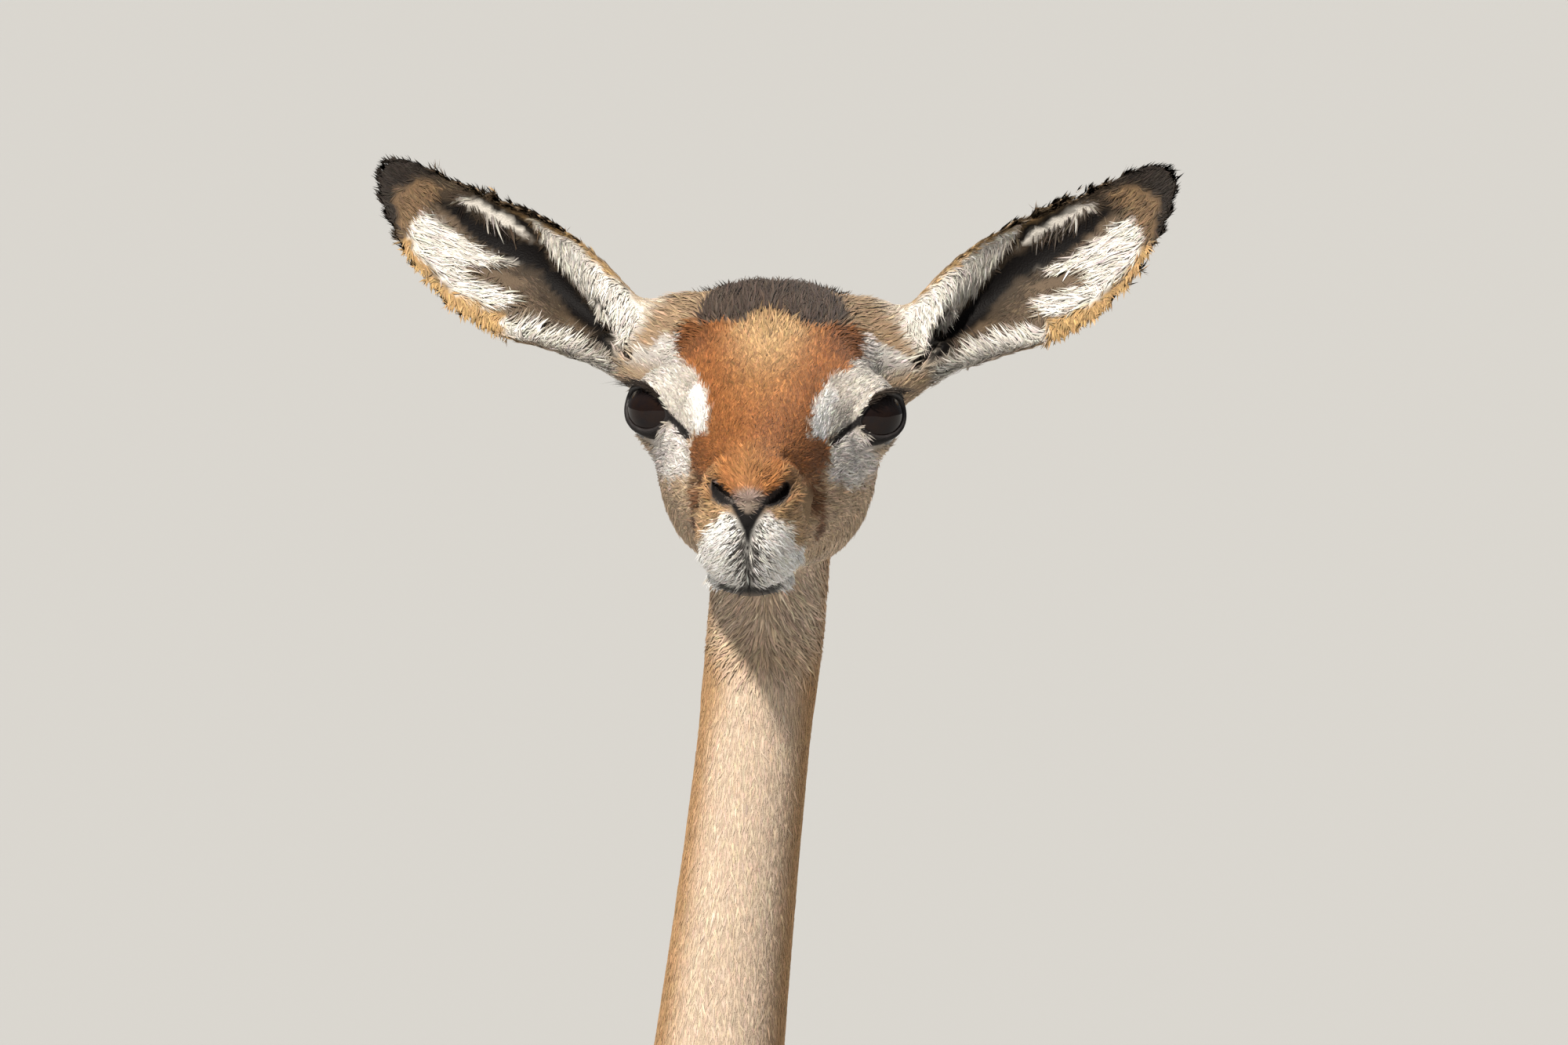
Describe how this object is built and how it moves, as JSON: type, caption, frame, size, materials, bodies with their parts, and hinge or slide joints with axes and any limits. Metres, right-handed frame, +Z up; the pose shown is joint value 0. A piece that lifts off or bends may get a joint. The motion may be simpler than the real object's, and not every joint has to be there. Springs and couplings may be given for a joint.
{
  "type": "gerenuk",
  "caption": "Life-size standing gerenuk: long-necked antelope with a wedge-shaped head, spread cupped ears, thin legs with cloven hooves and a thin tufted tail.",
  "frame": {"origin": "on the floor, under the middle of the whole animal's box", "axes": "+Z up; the animal faces -Y; +X is the animal's left side"},
  "size_m": [0.3256, 0.9984, 1.4697],
  "materials": {
    "body_coat": "short smooth fawn coat, darker along the back, pale below",
    "face_coat": "very short rust-red and white face coat",
    "ear_coat": "short ear coat with long white fringe hair inside and a dark rim",
    "eye": "wet, almost black eye",
    "hoof_horn": "black horn with a low sheen",
    "tuft_hair": "long black hair locks"
  },
  "bodies": {
    "root": {"head": "face_coat", "ear_left": "ear_coat", "ear_right": "ear_coat", "eye_left": "eye", "eye_right": "eye", "neck_upper": "body_coat", "neck_lower": "body_coat", "chest": "body_coat", "belly": "body_coat", "rump": "body_coat", "forearm_left": "body_coat", "forearm_right": "body_coat", "fore_cannon_left": "body_coat", "fore_cannon_right": "body_coat", "thigh_left": "body_coat", "thigh_right": "body_coat", "hind_cannon_left": "body_coat", "hind_cannon_right": "body_coat", "hoof_fore_left_outer": "hoof_horn", "hoof_fore_left_inner": "hoof_horn", "hoof_fore_right_outer": "hoof_horn", "hoof_fore_right_inner": "hoof_horn", "hoof_hind_left_outer": "hoof_horn", "hoof_hind_left_inner": "hoof_horn", "hoof_hind_right_outer": "hoof_horn", "hoof_hind_right_inner": "hoof_horn", "tail": "body_coat", "tail_tuft": "tuft_hair"}
  },
  "joints": []
}
